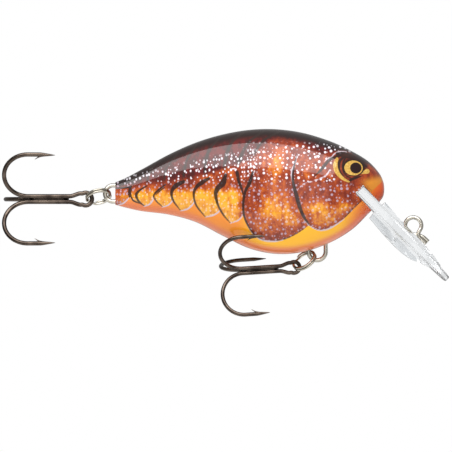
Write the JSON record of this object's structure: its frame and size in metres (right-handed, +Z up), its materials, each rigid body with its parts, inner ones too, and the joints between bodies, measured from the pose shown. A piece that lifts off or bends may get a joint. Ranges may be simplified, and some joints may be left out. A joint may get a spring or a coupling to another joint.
{
  "type": "crankbait lure",
  "caption": "Short-billed diving crankbait with a painted crayfish body, a clear diving lip and treble hooks on split rings.",
  "frame": {"origin": "centre of the line tie's eye, where the fishing line is fastened", "axes": "+X towards the nose along the body, +Y to the lure's left, +Z up in its swimming attitude"},
  "size_m": [0.0831, 0.0176, 0.0348],
  "materials": {
    "painted_balsa": "gloss lacquer over an orange and brown crayfish pattern",
    "clear_lip": "clear polycarbonate, polished",
    "bright_wire": "bright stainless steel and nickel plate",
    "black_nickel": "black nickel plate",
    "lead": "dull cast lead",
    "capsule": "unpainted moulding"
  },
  "bodies": {
    "lure_body": {"body_left_half": "painted_balsa", "body_right_half": "painted_balsa", "diving_lip": "clear_lip", "line_tie": "bright_wire", "wire_harness": "bright_wire", "ballast_weight": "lead", "rattle_tube": "capsule", "rattle_plug_front": "capsule", "rattle_plug_rear": "capsule"},
    "rattle_ball_rear": {"rattle_ball_1": "bright_wire"},
    "rattle_ball_middle": {"rattle_ball_2": "bright_wire"},
    "rattle_ball_front": {"rattle_ball_3": "bright_wire"},
    "tail_ring": {"tail_split_ring": "bright_wire"},
    "tail_treble": {"tail_double_hook": "black_nickel", "tail_single_hook": "black_nickel"},
    "belly_ring": {"belly_split_ring": "bright_wire"},
    "belly_treble": {"belly_double_hook": "black_nickel", "belly_single_hook": "black_nickel"}
  },
  "joints": [
    {"name": "tail_ring_swing", "type": "hinge", "parent": "lure_body", "child": "tail_ring", "pos_m": [-0.05639, 0, 0.00582], "axis": [-0.104, -0.866, 0.489], "range_deg": [-45, 85]},
    {"name": "tail_treble_sway", "type": "hinge", "parent": "tail_ring", "child": "tail_treble", "pos_m": [-0.05973, 0, 0.0049], "axis": [0, 0, -1], "range_deg": [-15, 45]},
    {"name": "belly_ring_swing", "type": "hinge", "parent": "lure_body", "child": "belly_ring", "pos_m": [-0.01844, 0, -0.00525], "axis": [0.2869, -0.8658, -0.4099], "range_deg": [-2, 110]},
    {"name": "belly_treble_sway", "type": "hinge", "parent": "belly_ring", "child": "belly_treble", "pos_m": [-0.02113, 0, -0.00772], "axis": [-0.061, -0.2249, 0.9725], "range_deg": [-1, 35]},
    {"name": "rattle_ball_rear_roll", "type": "slide", "parent": "lure_body", "child": "rattle_ball_rear", "axis": [1, 0, 0], "range_m": [0, 0.002]},
    {"name": "rattle_ball_middle_roll", "type": "slide", "parent": "lure_body", "child": "rattle_ball_middle", "axis": [1, 0, 0], "range_m": [0, 0.002]},
    {"name": "rattle_ball_front_roll", "type": "slide", "parent": "lure_body", "child": "rattle_ball_front", "axis": [1, 0, 0], "range_m": [0, 0.002]}
  ],
  "couplings": [
    {"joint": "rattle_ball_middle_roll", "follows": "rattle_ball_rear_roll", "ratio": 1},
    {"joint": "rattle_ball_front_roll", "follows": "rattle_ball_rear_roll", "ratio": 1}
  ]
}
